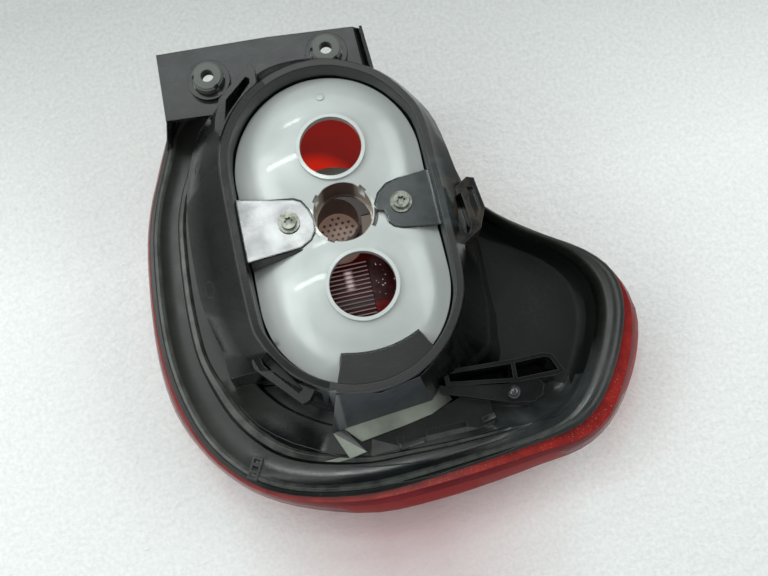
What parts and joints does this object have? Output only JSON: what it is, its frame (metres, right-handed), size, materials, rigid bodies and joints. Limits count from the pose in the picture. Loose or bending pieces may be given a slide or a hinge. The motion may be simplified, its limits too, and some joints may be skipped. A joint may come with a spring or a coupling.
{
  "type": "tail light cluster",
  "caption": "Rear lamp cluster lying on its red lens, with an oval collar around a two-dome reflector, a fixing plate and a deep side pocket.",
  "frame": {"origin": "on the flat face of the lens that the lamp rests on, under the axis of the middle lamp socket", "axes": "+Z out of the open back, +Y along the collar towards the fixing plate, +X towards the side pocket"},
  "size_m": [0.267, 0.26, 0.11],
  "materials": {
    "lens": "glossy transparent red",
    "housing": "glossy black",
    "reflector": "metallised, satin",
    "left_reflector_screw": "zinc plated",
    "right_reflector_screw": "zinc plated",
    "left_fixing_bush": "matt dark grey",
    "right_fixing_bush": "matt dark grey",
    "locating_stud": "glossy black",
    "indicator_optic": "beige, glossy",
    "reversing_optic": "ribbed, clear over red",
    "reflex_optic": "dark red with raised cells"
  },
  "bodies": {
    "root": {"lens": "lens", "housing": "housing", "reflector": "reflector", "left_reflector_screw": "left_reflector_screw", "right_reflector_screw": "right_reflector_screw", "left_fixing_bush": "left_fixing_bush", "right_fixing_bush": "right_fixing_bush", "locating_stud": "locating_stud", "indicator_optic": "indicator_optic", "reversing_optic": "reversing_optic", "reflex_optic": "reflex_optic"}
  },
  "joints": []
}
